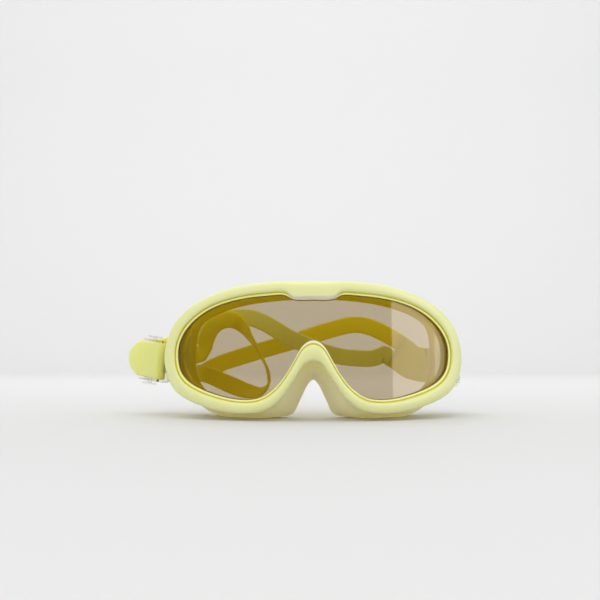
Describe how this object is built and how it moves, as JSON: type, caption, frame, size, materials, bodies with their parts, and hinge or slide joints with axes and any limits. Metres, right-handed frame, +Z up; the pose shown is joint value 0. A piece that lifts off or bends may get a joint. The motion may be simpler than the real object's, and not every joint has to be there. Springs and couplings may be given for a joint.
{
  "type": "diving mask",
  "caption": "Low-volume swimming and diving mask: wrap-round tinted lens in a frame with a nose arch, soft face skirt, split head strap and swivelling squeeze-release buckles.",
  "frame": {"origin": "middle of the base of the whole mask as it stands, strap and buckles counted", "axes": "+X along the mask's width, to the wearer's left; +Y from the lens towards the wearer; +Z up, towards the brow"},
  "size_m": [0.1848, 0.0762, 0.0697],
  "materials": {
    "frame_plastic": "pale lime yellow, satin moulded",
    "tinted_lens": "smoke brown tint, polished polycarbonate",
    "seal_rubber": "pale yellow, soft satin",
    "silicone": "translucent lime yellow silicone, satin",
    "clear_plastic": "clear polycarbonate, polished",
    "steel": "stainless, drawn"
  },
  "bodies": {
    "mask": {"front_frame": "frame_plastic", "lens": "tinted_lens", "lens_seal": "seal_rubber", "skirt": "silicone", "skirt_retainer": "frame_plastic", "strap_crossing_band": "silicone", "strap_back_band": "silicone", "left_strap_run": "silicone", "left_strap_bend": "silicone", "left_hinge_pin": "steel", "right_strap_run": "silicone", "right_strap_bend": "silicone", "right_hinge_pin": "steel"},
    "left_buckle": {"left_buckle_body": "clear_plastic", "left_roller_axle": "steel", "left_strap_tail": "silicone", "left_upper_button_spring": "steel", "left_lower_button_spring": "steel"},
    "left_roller": {"left_strap_roller": "clear_plastic"},
    "left_upper_squeeze": {"left_upper_button": "clear_plastic"},
    "left_lower_squeeze": {"left_lower_button": "clear_plastic"},
    "right_buckle": {"right_buckle_body": "clear_plastic", "right_roller_axle": "steel", "right_strap_tail": "silicone", "right_upper_button_spring": "steel", "right_lower_button_spring": "steel"},
    "right_roller": {"right_strap_roller": "clear_plastic"},
    "right_upper_squeeze": {"right_upper_button": "clear_plastic"},
    "right_lower_squeeze": {"right_lower_button": "clear_plastic"}
  },
  "joints": [
    {"name": "left_buckle_swivel", "type": "hinge", "parent": "mask", "child": "left_buckle", "pos_m": [-0.06617, 0.00578, 0.0285], "axis": [0.1392, 0, 0.9903], "range_deg": [-65, 10], "deforming": ["left_strap_bend"]},
    {"name": "right_buckle_swivel", "type": "hinge", "parent": "mask", "child": "right_buckle", "pos_m": [0.08543, 0.00578, 0.0285], "axis": [0.1392, 0, -0.9903], "range_deg": [-6, 69], "deforming": ["right_strap_bend"]},
    {"name": "left_roller_spin", "type": "hinge", "parent": "left_buckle", "child": "left_roller", "pos_m": [-0.0738, 0.00937, 0.02957], "axis": [0.1392, 0, 0.9903], "continuous": true},
    {"name": "right_roller_spin", "type": "hinge", "parent": "right_buckle", "child": "right_roller", "pos_m": [0.08631, 0.01424, 0.02862], "axis": [-0.1392, 0, 0.9903], "continuous": true},
    {"name": "left_upper_squeeze_slide", "type": "slide", "parent": "left_buckle", "child": "left_upper_squeeze", "axis": [-0.1392, 0, -0.9903], "range_m": [0, 0.0008], "stiffness_N_per_m": 600, "deforming": ["left_upper_button_spring"]},
    {"name": "left_lower_squeeze_slide", "type": "slide", "parent": "left_buckle", "child": "left_lower_squeeze", "axis": [0.1392, 0, 0.9903], "range_m": [0, 0.0008], "stiffness_N_per_m": 600, "deforming": ["left_lower_button_spring"]},
    {"name": "right_upper_squeeze_slide", "type": "slide", "parent": "right_buckle", "child": "right_upper_squeeze", "axis": [0.1392, 0, -0.9903], "range_m": [0, 0.0008], "stiffness_N_per_m": 600, "deforming": ["right_upper_button_spring"]},
    {"name": "right_lower_squeeze_slide", "type": "slide", "parent": "right_buckle", "child": "right_lower_squeeze", "axis": [-0.1392, 0, 0.9903], "range_m": [0, 0.0008], "stiffness_N_per_m": 600, "deforming": ["right_lower_button_spring"]}
  ]
}
